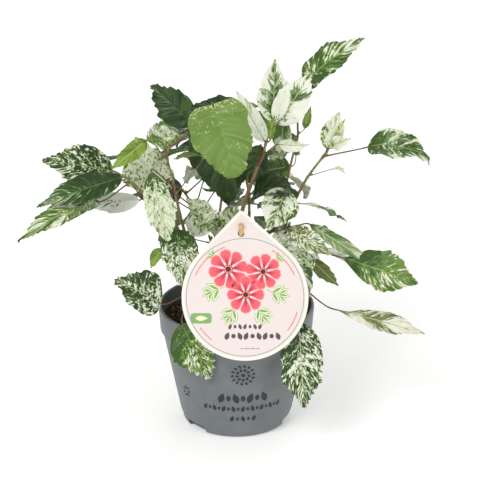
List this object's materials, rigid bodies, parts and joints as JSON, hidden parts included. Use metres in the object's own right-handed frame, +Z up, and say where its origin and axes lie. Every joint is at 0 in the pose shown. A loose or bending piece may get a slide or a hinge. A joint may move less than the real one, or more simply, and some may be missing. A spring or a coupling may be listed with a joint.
{
  "type": "potted hibiscus shrub",
  "caption": "Young variegated hibiscus shrub in a tapered round nursery pot filled with peat, with a teardrop plant label on a cane leaning on the rim.",
  "frame": {"origin": "centre of the pot's flat underside", "axes": "+Z up; -Y is the front, where the label leans; +X is to the right seen from the front"},
  "size_m": [0.3352, 0.2326, 0.3317],
  "materials": {
    "pot_plastic": "matte moulded grey polypropylene",
    "peat": "dark crumbly peat potting soil",
    "label_card": "pale pink printed plastic card with a satin surface",
    "cane_bamboo": "smooth dry bamboo",
    "bark": "young brown bark with fine ridges and pores",
    "foliage": "waxy green leaves marbled with cream and white"
  },
  "bodies": {
    "root": {"pot": "pot_plastic", "soil": "peat", "label": "label_card", "label_cane": "cane_bamboo", "stem_left": "bark", "stem_back_left": "bark", "stem_middle": "bark", "stem_right": "bark", "stem_low_left": "bark", "stem_low_right": "bark", "stem_back": "bark", "stem_low_back_left": "bark", "stem_low_back_right": "bark", "bough_far_left": "bark", "bough_right_back": "bark", "bough_right": "bark", "bough_back_left": "bark", "bough_back_right": "bark", "leaves_far_left": "foliage", "leaves_left_top": "foliage", "leaves_left_side": "foliage", "leaves_centre_left": "foliage", "leaves_centre_low": "foliage", "leaves_middle_low": "foliage", "leaves_middle_top": "foliage", "leaves_right_top": "foliage", "leaves_right": "foliage", "leaves_right_low": "foliage", "leaves_rim_left": "foliage", "leaves_rim_right": "foliage", "leaves_back_left": "foliage", "leaves_back_right": "foliage", "leaves_back_top": "foliage", "leaves_rim_back_left": "foliage", "leaves_rim_back_right": "foliage"}
  },
  "joints": []
}
